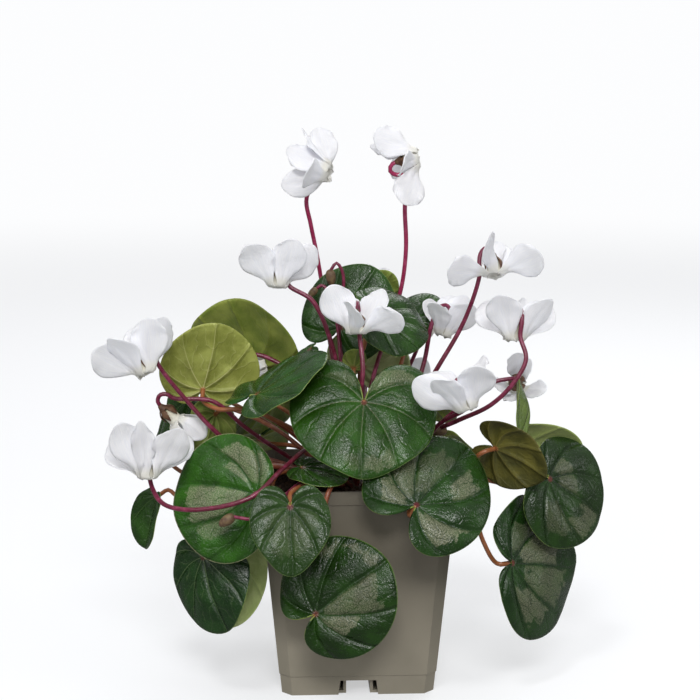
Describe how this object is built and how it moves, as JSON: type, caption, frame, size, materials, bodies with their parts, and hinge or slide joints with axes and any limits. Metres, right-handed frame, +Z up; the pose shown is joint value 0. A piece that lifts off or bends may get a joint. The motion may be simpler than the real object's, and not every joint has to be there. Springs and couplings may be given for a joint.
{
  "type": "potted cyclamen",
  "caption": "Round-leaved cyclamen with white reflexed flowers on hooked stalks, growing in a square tapered nursery pot.",
  "frame": {"origin": "on the floor under the middle of the pot", "axes": "+Z up, -Y towards the front of the plant, +X to the right as seen from the front"},
  "size_m": [0.2349, 0.1592, 0.2587],
  "materials": {
    "pot": "satin",
    "soil": "matte",
    "stalk": "satin",
    "leaf": "satin",
    "petal": "matte"
  },
  "bodies": {
    "root": {"pot": "pot", "soil": "soil", "crown": "stalk", "leaf_front_middle": "leaf", "leaf_front_right": "leaf", "leaf_front_low": "leaf", "leaf_front_heart": "leaf", "leaf_left_silver": "leaf", "leaf_left_low": "leaf", "leaf_left_low_back": "leaf", "leaf_left_small": "leaf", "leaf_left_edge": "leaf", "leaf_left_upright": "leaf", "leaf_left_back": "leaf", "leaf_left_flat": "leaf", "leaf_top_left": "leaf", "leaf_top_right": "leaf", "leaf_top_back": "leaf", "leaf_top_right_back": "leaf", "leaf_middle_pale": "leaf", "leaf_middle_thin": "leaf", "leaf_middle_young": "leaf", "leaf_right_olive": "leaf", "leaf_right_upright": "leaf", "leaf_right_pale": "leaf", "leaf_right": "leaf", "leaf_right_low": "leaf", "leaf_rim_left": "leaf", "leaf_left_hidden": "leaf", "leaf_left_dark": "leaf", "leaf_back_low_left": "leaf", "leaf_back_low_right": "leaf", "leaf_back_rim": "leaf", "leaf_back_left": "leaf", "leaf_back_right": "leaf", "leaf_back_high": "leaf", "leaf_back_high_left": "leaf", "leaf_back_high_right": "leaf", "bloom_top_left": "petal", "bloom_top_middle": "petal", "bloom_upper_left": "petal", "bloom_middle": "petal", "bloom_left": "petal", "bloom_right_high": "petal", "bloom_right": "petal", "bloom_middle_right": "petal", "bloom_left_low": "petal", "bloom_right_back": "petal", "bloom_top_back": "petal", "bloom_top_right_back": "petal", "bloom_right_nodding": "petal", "bloom_left_back": "petal", "bloom_left_nodding": "petal", "bloom_back": "petal"}
  },
  "joints": []
}
